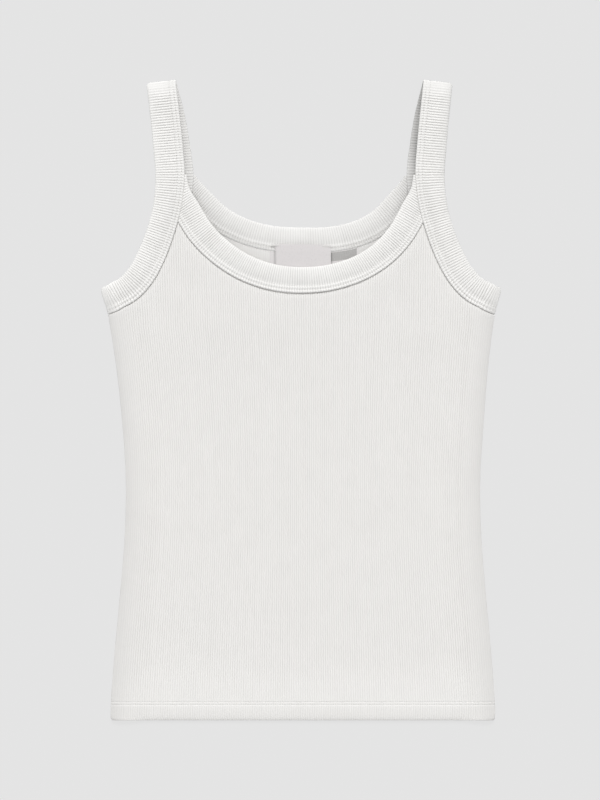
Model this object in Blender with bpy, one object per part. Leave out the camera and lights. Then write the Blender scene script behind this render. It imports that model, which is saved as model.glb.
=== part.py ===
"""A ribbed cotton tank top laid flat, front up, built from its sewn pieces.

The back panel rests on z = 0 with its inside up, and the front panel lies on it. The hem is at
-Y and the straps are at +Y; left and right are as seen from above. Each armhole binding is one
closed band: it runs up the front, folds over at the shoulder, goes down the back and folds again
under the arm. Ribs are raised in the faces that show, over plain undersides.
"""

import bmesh
import bpy
import numpy as np


def table(columns, *rows):
    """A table's columns by name, as arrays."""
    return dict(zip(columns.split(), np.array(rows, dtype=float).T))


# Cloth walls and what parts them, in metres
SEAM_GAP = 0.0003
BAND_WALL = 0.0026
LABEL_WALL = 0.0010
FRONT_BAND_UNDER = BAND_WALL + SEAM_GAP
ROLL_RADIUS = 0.0030
ROLL_TOP = 0.0058
ROLL_WIDTH = 0.0150
SIDE_SEAM_HEIGHT = 0.0028
FOLD_MIDDLE = (FRONT_BAND_UNDER + BAND_WALL) / 2
FOLD_RADIUS = FRONT_BAND_UNDER - FOLD_MIDDLE + BAND_WALL / 2
FOLD_CORNER = 0.0030

# Ribs
BODY_RIBS_EACH_SIDE = 84
BAND_RIB_PITCH = 0.0024
NECK_RIB_PITCH = 0.00225
RIB_DEPTH = 0.0004

# Half the body's width, up its side seam
BODY_SIDE = table(
    "y half_width",
    (-0.2910, 0.1753),
    (-0.2360, 0.1720),
    (-0.1815, 0.1670),
    (-0.1270, 0.1625),
    (-0.0723, 0.1612),
    (-0.0177, 0.1647),
    (0.0187, 0.1679),
    (0.0551, 0.1724),
    (0.0780, 0.1760),
)

# Both panels' rows, hem to chest: height under the front one, both walls, the ribs' share of depth
PANEL_ROWS = table(
    "y under wall back_wall relief",
    (-0.2910, 0.0023, 0.0021, 0.0020, 1.0),
    (-0.2745, 0.0023, 0.0021, 0.0020, 0.3),
    (-0.2520, 0.0015, 0.0014, 0.0012, 1.0),
    (-0.1750, 0.0015, 0.0014, 0.0012, 1.0),
    (-0.1150, 0.0015, 0.0014, 0.0012, 1.0),
    (-0.0600, 0.0015, 0.0014, 0.0012, 1.0),
    (0.0050, 0.0015, 0.0014, 0.0012, 1.0),
    (0.0660, 0.0029, 0.0014, 0.0012, 1.0),
    (0.0780, 0.0029, 0.0014, 0.0012, 1.0),
)

# Armhole binding's free edge from the underarm tip to the shoulder; the back run lies further in
ARMHOLE = table(
    "x y width back_inset",
    (0.1825, 0.1024, 0.0257, 0.0000),
    (0.1785, 0.1037, 0.0256, 0.0005),
    (0.1744, 0.1060, 0.0255, 0.0010),
    (0.1647, 0.1115, 0.0255, 0.0020),
    (0.1562, 0.1206, 0.0255, 0.0030),
    (0.1465, 0.1388, 0.0252, 0.0050),
    (0.1390, 0.1579, 0.0249, 0.0065),
    (0.1331, 0.1825, 0.0258, 0.0075),
    (0.1315, 0.2052, 0.0267, 0.0077),
    (0.1331, 0.2280, 0.0269, 0.0065),
    (0.1356, 0.2553, 0.0267, 0.0047),
    (0.1392, 0.2871, 0.0266, 0.0002),
)
STRAP_START = 0.2050  # above this the armhole binding runs on alone, as a shoulder strap

# Neck bindings' free edges from a strap to the middle
FRONT_NECK = table(
    "x y width",
    (0.1030, 0.2060, 0.0241),
    (0.1008, 0.1945, 0.0241),
    (0.0925, 0.1806, 0.0241),
    (0.0801, 0.1611, 0.0241),
    (0.0664, 0.1465, 0.0241),
    (0.0464, 0.1324, 0.0241),
    (0.0246, 0.1242, 0.0241),
    (0.0000, 0.1215, 0.0241),
)
BACK_NECK = table(
    "x y width",
    (0.0956, 0.2055, 0.0237),
    (0.0919, 0.2007, 0.0237),
    (0.0828, 0.1916, 0.0237),
    (0.0646, 0.1746, 0.0237),
    (0.0464, 0.1649, 0.0237),
    (0.0282, 0.1597, 0.0237),
    (0.0000, 0.1578, 0.0237),
)

# Across a binding from its free fold to its sewn edge: width share, height and the ribs' share of depth
BAND_FACE = table(
    "across height relief",
    (0.00, 0.0013, 0.5),
    (0.04, 0.0026, 1.0),
    (0.74, 0.0026, 0.6),
    (1.00, 0.0024, 1.0),
)
INSIDE_BAND_FACE = table(
    "across height relief",
    (0.00, 0.0013, 0.5),
    (0.04, 0.0026, 1.0),
    (1.00, 0.0024, 1.0),
)
BAND_UNDERSIDE = table(
    "across height relief",
    (0.04, 0.0, 0.0),
    (1.00, 0.0, 0.0),
)

# The neck label, from its sewn top down to the end that the front neck binding hides
NECK_LABEL_WIDTH = 0.0505
NECK_LABEL_TOP = (0.0020, 0.1424)
NECK_LABEL = table(
    "y under",
    (0.0000, 0.0042),
    (-0.0092, 0.0042),
    (-0.0124, 0.0033),
    (-0.0152, 0.0028),
    (-0.0179, 0.0016),
    (-0.0344, 0.0015),
)

# The wider label under it, by the distance in from the back neckline's free edge
UNDER_LABEL_ENDS = (-0.0282, 0.0519)
UNDER_LABEL = table(
    "inset under",
    (0.0148, 0.0029),
    (0.0241, 0.0029),
    (0.0265, 0.0020),
    (0.0295, 0.0015),
)

# Points and steps
PLAIN_STEP = 0.008
PLAIN_BAND_STEP = 0.010
FOLD_STEPS = 8
PLAIN_FOLD_STEPS = 4
CURVE_STEPS = 600
SECTION_STEPS = 400
LABEL_STEPS = 10

WHITE_RIB = (0.82, 0.81, 0.79, 1.0)
WHITE_LABEL = (0.86, 0.86, 0.85, 1.0)


# ---- Curves ----


def refine(rows, steps=CURVE_STEPS):
    """A smooth curve through a table's rows, evenly stepped along its first two columns."""
    points = np.column_stack(list(rows.values()))
    knots = walked(points[:, :2])
    slopes = np.gradient(points, knots, axis=0)
    where = np.linspace(0, knots[-1], steps)
    at = np.clip(np.searchsorted(knots, where, side="right") - 1, 0, len(knots) - 2)
    span = (knots[at + 1] - knots[at])[:, None]
    t = (where - knots[at])[:, None] / span
    curve = points[at] * (1 + 2 * t) * (1 - t) ** 2 + slopes[at] * span * t * (1 - t) ** 2
    curve += points[at + 1] * t**2 * (3 - 2 * t) + slopes[at + 1] * span * t**2 * (t - 1)
    return dict(zip(rows, curve.T))


def mirrored(half):
    """A table that ends at x = 0, carried on to the other side."""
    whole = {name: np.concatenate((column, column[-2::-1])) for name, column in half.items()}
    whole["x"] = np.concatenate((half["x"], -half["x"][-2::-1]))
    return whole


def unit_steps(line):
    """The direction of a line at each of its points."""
    along = np.gradient(line, axis=0)
    return along / np.linalg.norm(along, axis=1)[:, None]


def walked(line):
    """How far along a line each of its points lies."""
    steps = np.linalg.norm(np.diff(line, axis=0), axis=1)
    return np.concatenate(([0.0], np.cumsum(steps)))


def beside(curve, offset):
    """The line that runs beside a curve, a number or an array of distances towards the body."""
    line = np.column_stack((curve["x"], curve["y"]))
    along = unit_steps(line)
    inward = np.column_stack((-along[:, 1], along[:, 0]))
    return line + inward * np.broadcast_to(offset, len(line))[:, None]


def midway(edges):
    return (edges[0] + edges[1]) / 2


def even_stations(edges, count, trim=0.0):
    """Pairs of points on a band's two edges, even along the line midway between them."""
    distance = walked(midway(edges))
    where = np.linspace(trim, distance[-1] - trim, count)
    columns = [[np.interp(where, distance, edge[:, k]) for k in (0, 1)] for edge in edges]
    return np.array(columns).transpose(2, 0, 1)


def crossing_height(line, x):
    """The y of a line where it crosses each x, using only its stretch below the strap."""
    body = line[line[:, 1] < STRAP_START]
    order = np.argsort(body[:, 0])
    return np.interp(x, body[order, 0], body[order, 1])


def distance_to(line, start, direction):
    """How far a ray from start runs before it crosses a line, or infinity."""
    leg = np.diff(line, axis=0)
    to_leg = line[:-1] - start
    across = direction[0] * leg[:, 1] - direction[1] * leg[:, 0]
    across[across == 0] = np.inf
    ray = (to_leg[:, 0] * leg[:, 1] - to_leg[:, 1] * leg[:, 0]) / across
    share = (to_leg[:, 0] * direction[1] - to_leg[:, 1] * direction[0]) / across
    hits = ray[(ray > 0) & (share >= 0) & (share <= 1)]
    return hits.min() if len(hits) else np.inf


# ---- Closed walls ----


def add_grid(bm, points, closed):
    """Vertices and quads of a grid of points, one row for each station."""
    rows = [[bm.verts.new(point) for point in row] for row in points]
    following = rows[1:] + rows[:1] if closed else rows[1:]
    for row, after in zip(rows, following):
        for k in range(len(row) - 1):
            bm.faces.new((row[k], row[k + 1], after[k + 1], after[k]))
    return rows


def join_chains(bm, one, two):
    """Triangles between two chains of vertices side by side, however many points each has."""
    i = j = 0
    while i < len(one) - 1 or j < len(two) - 1:
        step_one = (one[i + 1].co - two[j].co).length if i < len(one) - 1 else np.inf
        step_two = (two[j + 1].co - one[i].co).length if j < len(two) - 1 else np.inf
        if step_one <= step_two:
            bm.faces.new((one[i], one[i + 1], two[j]))
            i += 1
        else:
            bm.faces.new((one[i], two[j + 1], two[j]))
            j += 1


def make_wall(name, shown, plain, colour, closed=False):
    """One closed solid between a shown face and a plain one, each a grid of stations."""
    bm = bmesh.new()
    grids = [add_grid(bm, face, closed) for face in (shown, plain)]
    for side in (0, -1):
        chains = [[row[side] for row in grid] for grid in grids]
        if closed:
            chains = [chain + chain[:1] for chain in chains]
        join_chains(bm, *chains)
    if not closed:
        for end in (0, -1):
            join_chains(bm, grids[0][end], grids[1][end])
    bmesh.ops.recalc_face_normals(bm, faces=bm.faces)
    mesh = bpy.data.meshes.new(name)
    bm.to_mesh(mesh)
    bm.free()
    mesh.materials.append(cloth_material(name, colour))
    piece = bpy.data.objects.new(name, mesh)
    garment.objects.link(piece)
    piece.parent = middle
    return piece


def cloth_material(name, colour):
    material = bpy.data.materials.new(name)
    material.use_nodes = True
    shader = material.node_tree.nodes["Principled BSDF"]
    shader.inputs["Base Color"].default_value = colour
    shader.inputs["Roughness"].default_value = 0.9
    shader.inputs["Metallic"].default_value = 0.0
    return material


# ---- Panels ----


def turned_share(inset):
    """How far round its quarter turn a side is, by the distance in from it: 0 at the seam, 1 past it."""
    return np.sqrt(1 - (1 - np.clip(inset / ROLL_RADIUS, 0, 1)) ** 2)


def front_height(inset, face):
    """Height of the front panel's face, by the distance in from its side: a soft roll, then flat."""
    rise = np.clip((ROLL_WIDTH - inset) / (ROLL_WIDTH - ROLL_RADIUS), 0, 1)
    flat = face + (ROLL_TOP - face) * rise**2 * (3 - 2 * rise)
    seam = SIDE_SEAM_HEIGHT + SEAM_GAP / 2
    return np.where(inset < ROLL_RADIUS, seam + (ROLL_TOP - seam) * turned_share(inset), flat)


def back_height(inset, face):
    """Height of the back panel's outer face: flat on the surface, turned up at its side."""
    seam = SIDE_SEAM_HEIGHT - SEAM_GAP / 2
    return face + (seam - face) * (1 - turned_share(inset))


def half_section(half_width, height, face, up):
    """A panel's outer face from its middle to its side: shares walked, points and normals."""
    inset = half_width * np.linspace(1, 0, SECTION_STEPS) ** 3  # closer together towards the side
    line = np.column_stack((half_width - inset, height(inset, face)))
    along = unit_steps(line)
    outward = up * np.column_stack((-along[:, 1], along[:, 0]))
    distance = walked(line)
    return distance / distance[-1], line, outward


def panel_face(shares, seams, height, up, faces, depths):
    """Stations of a panel's face, from its rows' outer heights and its points' depths in the cloth."""
    half_widths = np.interp(PANEL_ROWS["y"], side["y"], side["half_width"])
    stations = [[] for share in shares]
    for row, (y, half_width) in enumerate(zip(PANEL_ROWS["y"], half_widths)):
        walked_shares, line, outward = half_section(half_width, height, faces[row], up)
        for column, share in enumerate(shares):
            place = [np.interp(abs(share), walked_shares, values) for values in line.T]
            normal = [np.interp(abs(share), walked_shares, values) for values in outward.T]
            x, z = np.array(place) - depths[row][column] * np.array(normal)
            top = row == len(half_widths) - 1
            stations[column].append((np.sign(share) * x, upper_edge(x, seams) if top else y, z))
    return stations


def upper_edge(x, seams):
    """The y of a panel's upper edge: the lower of its armhole seam and its neck seam."""
    return np.minimum(*(crossing_height(seam, x) for seam in seams))


def even_shares(seams):
    """Shares across a panel whose points lie evenly along its upper edge."""
    half_width = BODY_SIDE["half_width"][-1]
    x = np.linspace(-half_width, half_width, 2 * CURVE_STEPS + 1)
    distance = walked(np.column_stack((x, upper_edge(abs(x), seams))))
    count = 2 * round(distance[-1] / PLAIN_STEP / 2)
    return np.interp(np.linspace(0, distance[-1], count + 1), distance, x) / half_width


def make_front_panel(seams):
    wall = PANEL_ROWS["wall"]
    faces = PANEL_ROWS["under"] + wall
    ribbed = np.linspace(-1, 1, 4 * BODY_RIBS_EACH_SIDE + 1)
    grooves = RIB_DEPTH * np.outer(PANEL_ROWS["relief"], np.arange(len(ribbed)) % 2 == 0)
    shown = panel_face(ribbed, seams, front_height, 1, faces, grooves)
    shares = even_shares(seams)
    plain = panel_face(shares, seams, front_height, 1, faces, np.outer(wall, np.ones(len(shares))))
    make_wall("front_panel", shown, plain, WHITE_RIB)


def make_back_panel(seams):
    wall = PANEL_ROWS["back_wall"]
    shares = even_shares(seams)
    ground = np.zeros(len(wall))
    shown, plain = (
        panel_face(shares, seams, back_height, -1, ground, np.outer(depth, np.ones(len(shares))))
        for depth in (wall, ground)
    )
    make_wall("back_panel", shown, plain, WHITE_RIB)


# ---- Bindings ----


def rib_stations(length, pitch):
    """Stations for a ribbed face that starts and ends in a groove, the crests between them."""
    return 2 * round(length / pitch) + 1


def plain_stations(length):
    return round(length / PLAIN_BAND_STEP) + 1


def rib_heights(profile, groove):
    """Heights across a band at one station, sunk where it is a groove."""
    return profile["height"] - RIB_DEPTH * profile["relief"] * groove


def make_neck_binding(name, curve, armhole_seam, face, under):
    """A flat band along a neckline, its ends tapered against the armhole bindings."""
    edges = [beside(curve, 0), beside(curve, curve["width"])]
    for k, (start, end) in enumerate(zip(*edges)):
        width = np.linalg.norm(end - start)
        direction = (end - start) / width
        stops = [distance_to(line, start, direction) for line in (armhole_seam, armhole_seam * (-1, 1))]
        edges[1][k] = start + direction * min(width, *stops)

    def stations(count, profile):
        return [
            [
                (*(free + (sewn - free) * across), under + height)
                for across, height in zip(profile["across"], rib_heights(profile, k % 2 == 0))
            ]
            for k, (free, sewn) in enumerate(even_stations(edges, count))
        ]

    length = walked(midway(edges))[-1]
    shown = stations(rib_stations(length, NECK_RIB_PITCH), face)
    plain = stations(plain_stations(length), BAND_UNDERSIDE)
    make_wall(name, shown, plain, WHITE_RIB)


def band_section(edges, turn, outward, profile, groove):
    """One section of a flattened band, its face turned from up, 0, through a fold to down, pi."""
    free, sewn = edges
    bend = abs(np.sin(turn))
    rounded = FOLD_CORNER * bend**2 / np.linalg.norm(sewn - free)
    points = []
    for across, height in zip(profile["across"], rib_heights(profile, groove)):
        reach = FRONT_BAND_UNDER - FOLD_MIDDLE + height
        place = free + (sewn - free) * (rounded + across * (1 - rounded)) + outward * bend * reach
        points.append((*place, FOLD_MIDDLE + np.cos(turn) * reach))
    return points


def band_fold(before, after, turn, way, steps, profile):
    """The sections of a fold between two runs of a band, bulging the way the first one leads."""
    line = before[1] - before[0]
    outward = way * np.array((line[1], -line[0])) / np.linalg.norm(line)
    return [
        band_section(
            before + (after - before) * step / steps,
            turn + np.pi * step / steps,
            outward,
            profile,
            step % 2 == 0,
        )
        for step in range(1, steps)
    ]


def make_armhole_binding(name, side_sign):
    """A band all round one armhole, flattened, with a fold at the shoulder and one under the arm."""
    front = [beside(armhole, 0), beside(armhole, armhole["width"])]
    back = [beside(armhole, armhole["back_inset"]), back_armhole_sewn]
    length = walked(midway(front))[-1]

    def ring(front_count, fold_steps, profile):
        up = even_stations(front, front_count, FOLD_RADIUS)
        down = even_stations(back, plain_stations(length), FOLD_RADIUS)[::-1]
        stations = [band_section(edges, 0, 0, profile, k % 2 == 0) for k, edges in enumerate(up)]
        stations += band_fold(up[-1], down[0], 0, 1, fold_steps, profile)
        stations += [band_section(edges, np.pi, 0, profile, False) for edges in down]
        stations += band_fold(down[-1], up[0], np.pi, -1, fold_steps, profile)
        return [[(side_sign * x, y, z) for x, y, z in station] for station in stations]

    shown = ring(rib_stations(length - 2 * FOLD_RADIUS, BAND_RIB_PITCH), FOLD_STEPS, BAND_FACE)
    plain = ring(plain_stations(length), PLAIN_FOLD_STEPS, BAND_UNDERSIDE)
    make_wall(name, shown, plain, WHITE_RIB, closed=True)


# ---- Labels ----


def make_neck_label():
    """The label that hangs from the back neckline, made about the middle of its sewn top."""
    half = NECK_LABEL_WIDTH / 2
    shown, plain = (
        [[(x, down, under + lift) for x in (-half, half)] for down, under in zip(*NECK_LABEL.values())]
        for lift in (LABEL_WALL, 0.0)
    )
    label = make_wall("neck_label", shown, plain, WHITE_LABEL)
    label.location = (*NECK_LABEL_TOP, 0.0)


def make_under_label():
    """A strip along the back neckline, over the binding's sewn edge and under the other label."""
    lines = [beside(back_neck, inset) for inset in UNDER_LABEL["inset"]]
    ends = [np.argmin(abs(lines[1][:, 0] - x)) for x in UNDER_LABEL_ENDS]
    picked = np.linspace(*ends, LABEL_STEPS + 1).round().astype(int)
    heights = UNDER_LABEL["under"]
    shown, plain = (
        [[(*line[k], under + lift) for line, under in zip(lines, heights)] for k in picked]
        for lift in (LABEL_WALL, 0.0)
    )
    make_wall("under_label", shown, plain, WHITE_LABEL)


# ---- The garment ----

for old in list(bpy.data.objects):
    bpy.data.objects.remove(old)
garment = bpy.data.collections.new("Tank top")
bpy.context.scene.collection.children.link(garment)
middle = bpy.data.objects.new("tank_top", None)
garment.objects.link(middle)

side = refine(BODY_SIDE)
armhole = refine(ARMHOLE)
front_neck = refine(mirrored(FRONT_NECK))
back_neck = refine(mirrored(BACK_NECK))
back_armhole_sewn = beside(armhole, armhole["back_inset"] + armhole["width"])

# What meets a binding stops at these lines, one seam gap past its sewn edge
front_armhole_seam = beside(armhole, armhole["width"] + SEAM_GAP)
back_armhole_seam = beside(armhole, armhole["back_inset"] + armhole["width"] + SEAM_GAP)
front_neck_seam = beside(front_neck, front_neck["width"] + SEAM_GAP)
back_neck_seam = beside(back_neck, back_neck["width"] + SEAM_GAP)

make_back_panel((back_armhole_seam, back_neck_seam))
make_front_panel((front_armhole_seam, front_neck_seam))
make_neck_binding("neck_binding_back", back_neck, back_armhole_seam, INSIDE_BAND_FACE, 0.0)
make_neck_binding("neck_binding_front", front_neck, front_armhole_seam, BAND_FACE, FRONT_BAND_UNDER)
make_armhole_binding("armhole_binding_left", -1)
make_armhole_binding("armhole_binding_right", 1)
make_under_label()
make_neck_label()
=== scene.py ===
import bmesh
import bpy
import numpy as np
from mathutils import Matrix, Vector


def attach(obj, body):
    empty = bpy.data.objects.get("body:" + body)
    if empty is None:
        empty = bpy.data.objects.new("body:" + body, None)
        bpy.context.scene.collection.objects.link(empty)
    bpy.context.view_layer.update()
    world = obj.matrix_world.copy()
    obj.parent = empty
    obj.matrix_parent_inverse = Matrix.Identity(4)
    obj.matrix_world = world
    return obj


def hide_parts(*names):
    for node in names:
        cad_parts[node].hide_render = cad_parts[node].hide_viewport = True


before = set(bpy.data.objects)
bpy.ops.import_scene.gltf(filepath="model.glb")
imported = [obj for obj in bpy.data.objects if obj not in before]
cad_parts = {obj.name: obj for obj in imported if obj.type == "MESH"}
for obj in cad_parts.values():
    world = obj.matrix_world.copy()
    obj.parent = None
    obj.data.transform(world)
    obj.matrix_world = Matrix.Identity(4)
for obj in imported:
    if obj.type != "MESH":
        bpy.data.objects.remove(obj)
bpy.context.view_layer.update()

# ---- Back panel ----
# The lower of the two body cuts, white cotton in a fine 1x1 rib. It lies on the table with its
# inside up, its hem turned up and its sides curled up to the side seams. The bindings finish its
# upper edge.


def table(columns, *rows):
    """A table's columns by name, as arrays."""
    return dict(zip(columns.split(), np.array(rows, dtype=float).T))


def read_off(rows, where):
    """What a table of two columns says at each place, straight between its rows."""
    return np.interp(where, *rows.values())


def walked(line):
    """How far along a line each of its points lies, or along each column of an array of lines."""
    steps = np.linalg.norm(np.diff(line, axis=0), axis=-1)
    return np.concatenate((0 * steps[:1], np.cumsum(steps, axis=0)))


def smooth_curve(rows):
    """A smooth curve through a table's rows, evenly stepped along its first two columns."""
    points = np.column_stack(list(rows.values()))
    knots = walked(points[:, :2])
    slopes = np.gradient(points, knots, axis=0)
    where = np.linspace(0, knots[-1], CURVE_STEPS)
    at = np.clip(np.searchsorted(knots, where, side="right") - 1, 0, len(knots) - 2)
    span = (knots[at + 1] - knots[at])[:, None]
    t = (where - knots[at])[:, None] / span
    curve = points[at] * (1 + 2 * t) * (1 - t) ** 2 + slopes[at] * span * t * (1 - t) ** 2
    curve += points[at + 1] * t**2 * (3 - 2 * t) + slopes[at + 1] * span * t**2 * (t - 1)
    return dict(zip(rows, curve.T))


def mirrored(half):
    """A table that ends at x = 0, carried on to the left side."""
    whole = {name: np.concatenate((column, column[-2::-1])) for name, column in half.items()}
    whole["x"] = np.concatenate((half["x"], -half["x"][-2::-1]))
    return whole


def unit(vectors):
    return vectors / np.linalg.norm(vectors, axis=-1, keepdims=True)


def gaussian(distance, spread):
    return np.exp(-((distance / spread) ** 2))


def beside(curve, offset):
    """The line that runs beside a curve, a number or an array of distances towards the body."""
    line = np.column_stack((curve["x"], curve["y"]))
    along = unit(np.gradient(line, axis=0))
    inward = np.column_stack((-along[:, 1], along[:, 0]))
    return line + inward * np.broadcast_to(offset, len(line))[:, None]


def groove(ribs):
    """How deep a rib knit dips at a count of ribs: 1 between two ribs, 0 on a rib's crest."""
    return 1 - np.abs(np.sin(np.pi * ribs)) ** RIB_FULLNESS


def as_laid(points):
    """Points of the even pattern moved to where the top lies, a little askew on the table."""
    x, y = points[:, 0], points[:, 1]
    askew = read_off(ASKEW, y)
    drop = np.zeros(len(points))
    for place_x, place_y, reach, sideways, down in zip(*SAG.values()):
        near = gaussian(np.hypot(x - place_x, y - place_y), reach)
        askew += near * sideways
        drop += near * down
    return points + np.column_stack((askew, -drop, 0 * drop))


# How far each height of the top lies to the right of the middle, and where the neck sags
ASKEW = table(
    "y shift",
    (-0.2910, 0.0017),
    (-0.0300, 0.0019),
    (0.0100, 0.0014),
    (0.0550, 0.0007),
    (0.1000, 0.0000),
    (0.2000, -0.0009),
    (0.2900, -0.0013),
)
SAG = table(
    "x y reach sideways down",
    (0.072, 0.152, 0.042, 0.0009, 0.0036),
    (-0.085, 0.160, 0.035, -0.0003, 0.0012),
)


def knit_shell(name, points, **kept):
    """A grid of faces moved to an array of points and closed where they meet.

    What is kept for the material is an array of numbers too, one for each point.
    """
    rows, columns = points.shape[:2]
    bm = bmesh.new()
    bm.loops.layers.uv.new("UVMap")
    bmesh.ops.create_grid(bm, x_segments=columns - 1, y_segments=rows - 1, size=0.5, calc_uvs=True)
    for vertex, point in zip(bm.verts, as_laid(points.reshape(-1, 3)).tolist()):
        vertex.co = point
    for attribute, values in {"rib_length": walked(points), **kept}.items():
        layer = bm.verts.layers.float.new(attribute)
        for vertex, value in zip(bm.verts, np.ravel(values).tolist()):
            vertex[layer] = value
    bmesh.ops.remove_doubles(bm, verts=bm.verts, dist=MICRON)
    bmesh.ops.holes_fill(bm, edges=bm.edges, sides=0)
    bmesh.ops.recalc_face_normals(bm, faces=bm.faces)
    return finished(name, bm)


def finished(name, bm):
    """A bmesh made an object that rides on the part's one body."""
    mesh = bpy.data.meshes.new(name)
    bm.to_mesh(mesh)
    bm.free()
    mesh.shade_smooth()
    mesh.set_sharp_from_angle(angle=CREASE)
    piece = bpy.data.objects.new(name, mesh)
    bpy.context.scene.collection.objects.link(piece)
    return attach(piece, "root")


MICRON = 0.000001
CREASE = np.radians(62)
CURVE_STEPS = 600
SEAM_GAP = 0.0002
BODY_RIBS = 168
RIB_DEPTH = 0.0004
RIB_FULLNESS = 0.8

# Half the body's width at each height of its side seam
BODY_SIDE = table(
    "y half_width",
    (-0.2910, 0.1733),
    (-0.2902, 0.1743),
    (-0.2885, 0.1750),
    (-0.2850, 0.1750),
    (-0.2360, 0.1720),
    (-0.1815, 0.1670),
    (-0.1270, 0.1625),
    (-0.0723, 0.1612),
    (-0.0177, 0.1647),
    (0.0187, 0.1679),
    (0.0551, 0.1724),
    (0.0780, 0.1760),
)

# Armhole binding's free edge from the underarm tip to the shoulder; the back run lies further in
ARMHOLE = table(
    "x y width back_inset",
    (0.1825, 0.1024, 0.0250, 0.0000),
    (0.1785, 0.1037, 0.0249, 0.0005),
    (0.1744, 0.1060, 0.0248, 0.0010),
    (0.1647, 0.1115, 0.0248, 0.0020),
    (0.1562, 0.1206, 0.0249, 0.0030),
    (0.1465, 0.1388, 0.0252, 0.0050),
    (0.1390, 0.1579, 0.0249, 0.0065),
    (0.1331, 0.1825, 0.0258, 0.0075),
    (0.1315, 0.2052, 0.0267, 0.0077),
    (0.1331, 0.2280, 0.0269, 0.0065),
    (0.1356, 0.2553, 0.0267, 0.0047),
    (0.1392, 0.2883, 0.0266, 0.0002),
)
STRAP_START = 0.2050

# Neck bindings' free edges from a strap to the middle
FRONT_NECK = table(
    "x y width",
    (0.1030, 0.2060, 0.0249),
    (0.1008, 0.1945, 0.0249),
    (0.0925, 0.1806, 0.0249),
    (0.0801, 0.1611, 0.0248),
    (0.0664, 0.1465, 0.0246),
    (0.0464, 0.1324, 0.0243),
    (0.0246, 0.1242, 0.0240),
    (0.0000, 0.1215, 0.0239),
)
BACK_NECK = table(
    "x y width",
    (0.0956, 0.2055, 0.0229),
    (0.0919, 0.2007, 0.0229),
    (0.0828, 0.1916, 0.0229),
    (0.0646, 0.1746, 0.0229),
    (0.0464, 0.1649, 0.0229),
    (0.0282, 0.1597, 0.0229),
    (0.0000, 0.1578, 0.0229),
)

side = smooth_curve(BODY_SIDE)
armhole = smooth_curve(ARMHOLE)
front_neck = smooth_curve(mirrored(FRONT_NECK))
back_neck = smooth_curve(mirrored(BACK_NECK))
back_width = armhole["back_inset"] + armhole["width"]

# A panel's rows below the chest are at fixed heights: round its hem's fold, over the turn-up and
# the needle rows that hold it, and up the body
HEM = -0.2910
CHEST = 0.0660
HEM_FOLD_TURNS = np.radians((0, 30, 60, 90))
HEM_FOLD_DEPTH = 0.25
TURN_UP_ROWS = (-0.2885, -0.2850, -0.2810)
HEM_NEEDLES = (-0.2768, -0.2743)
NEEDLE_SPREAD = 0.0005
SEWN_ROWS = np.linspace(-0.2783, -0.2728, 12)

# Its rows above the chest: their share of the way to its upper edge, how far short of it they stop,
# how far the seam pulls the cloth down and how dark it is there. They stop less short where that
# way is shorter than the full climb.
TOP_ROWS = table(
    "share short dip shade",
    (0.12, 0.0000, 0.0000, 0.00),
    (0.30, 0.0000, 0.0000, 0.00),
    (0.50, 0.0000, 0.0000, 0.00),
    (0.70, 0.0000, 0.0000, 0.00),
    (0.84, 0.0000, 0.0000, 0.00),
    (1.00, 0.0034, 0.0001, 0.01),
    (1.00, 0.0018, 0.0004, 0.04),
    (1.00, 0.0008, 0.0008, 0.06),
    (1.00, 0.0003, 0.0009, 0.06),
    (1.00, 0.0000, 0.0009, 0.06),
)
FULL_CLIMB = 0.0300
SECTION_STEPS = 400

# How much of the ribs' depth is left towards the side, by the share of the half-width in from it
SIDE_RELIEF = table(
    "from_side share",
    (0.00, 0.1),
    (0.05, 0.4),
    (0.13, 1.0),
)


def crossing_height(line, x):
    """The y of a line where it crosses each x, using only its stretch below the strap."""
    body = line[line[:, 1] < STRAP_START]
    order = np.argsort(body[:, 0])
    return np.interp(x, body[order, 0], body[order, 1])


def turned_share(inset, radius):
    """How far round its quarter turn a side is, by the distance in from it: 0 at the seam, 1 past it."""
    return np.sqrt(1 - (1 - np.clip(inset / radius, 0, 1)) ** 2)


def soft_folds(x, y, folds):
    """Height that a table of soft troughs and ridges adds to the cloth at each place."""
    height = np.zeros_like(x)
    for k in range(len(folds["x"])):
        fold = {name: column[k] for name, column in folds.items()}
        turn = np.radians(fold["turn"])
        along = (x - fold["x"]) * np.cos(turn) + (y - fold["y"]) * np.sin(turn)
        across = (y - fold["y"]) * np.cos(turn) - (x - fold["x"]) * np.sin(turn)
        height += fold["height"] * gaussian(along, fold["length"]) * gaussian(across, fold["width"])
    return height


def wrapped_shares(columns):
    """Shares of the half-width, left to right over a panel's outer face and back along its inner one."""
    shares = np.linspace(-1, 1, columns * BODY_RIBS + 1)
    return np.concatenate((shares, shares[-2::-1]))


def across_panel(shares, y, section, face, up):
    """The x and z of a panel's outer face at shares of its half-width, and the way out of it there."""
    half_width = np.interp(y, side["y"], side["half_width"])
    inset = half_width * np.linspace(1, 0, SECTION_STEPS) ** 3
    line = np.column_stack((half_width - inset, section(inset, face)))
    outward = up * unit(np.gradient(line, axis=0)) @ np.array(((0, 1), (-1, 0)))
    distance = walked(line) / walked(line)[-1]
    return [np.interp(abs(shares), distance, values) for values in (*line.T, *outward.T)]


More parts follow.
